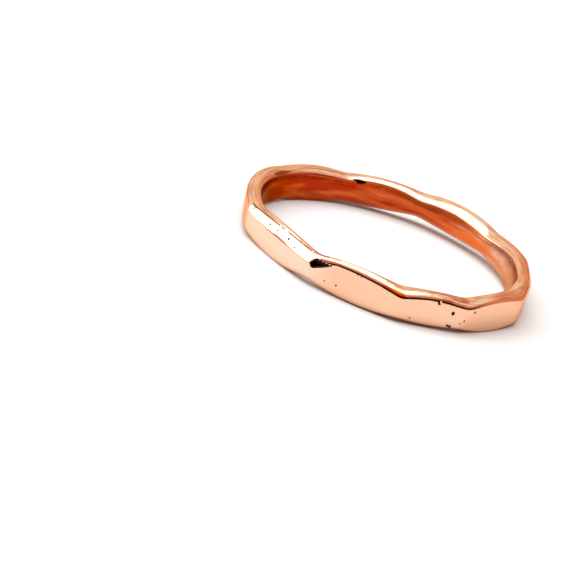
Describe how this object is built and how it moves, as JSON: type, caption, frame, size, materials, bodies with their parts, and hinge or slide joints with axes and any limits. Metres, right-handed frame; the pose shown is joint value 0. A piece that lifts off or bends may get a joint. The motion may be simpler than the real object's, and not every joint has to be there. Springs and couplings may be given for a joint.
{
  "type": "hammered stacking finger ring",
  "caption": "Narrow round finger ring of polished rose-gold metal, with a hammered outer face, wavy edges and a smooth open bore, lying on its side.",
  "frame": {"origin": "on the finger axis, in the plane that the ring rests on when it lies on its side", "axes": "+Z along the finger axis, up from the resting plane; +X and +Y across the bore, with the long bevel on the top edge between 204 and 244 degrees from +X"},
  "size_m": [0.0193, 0.0195, 0.0025],
  "materials": {
    "rose_gold": "mirror-polished rose-gold coloured metal with dark casting pits, a few tarnished spots and a redder, duller bore"
  },
  "bodies": {
    "root": {"band": "rose_gold"}
  },
  "joints": []
}
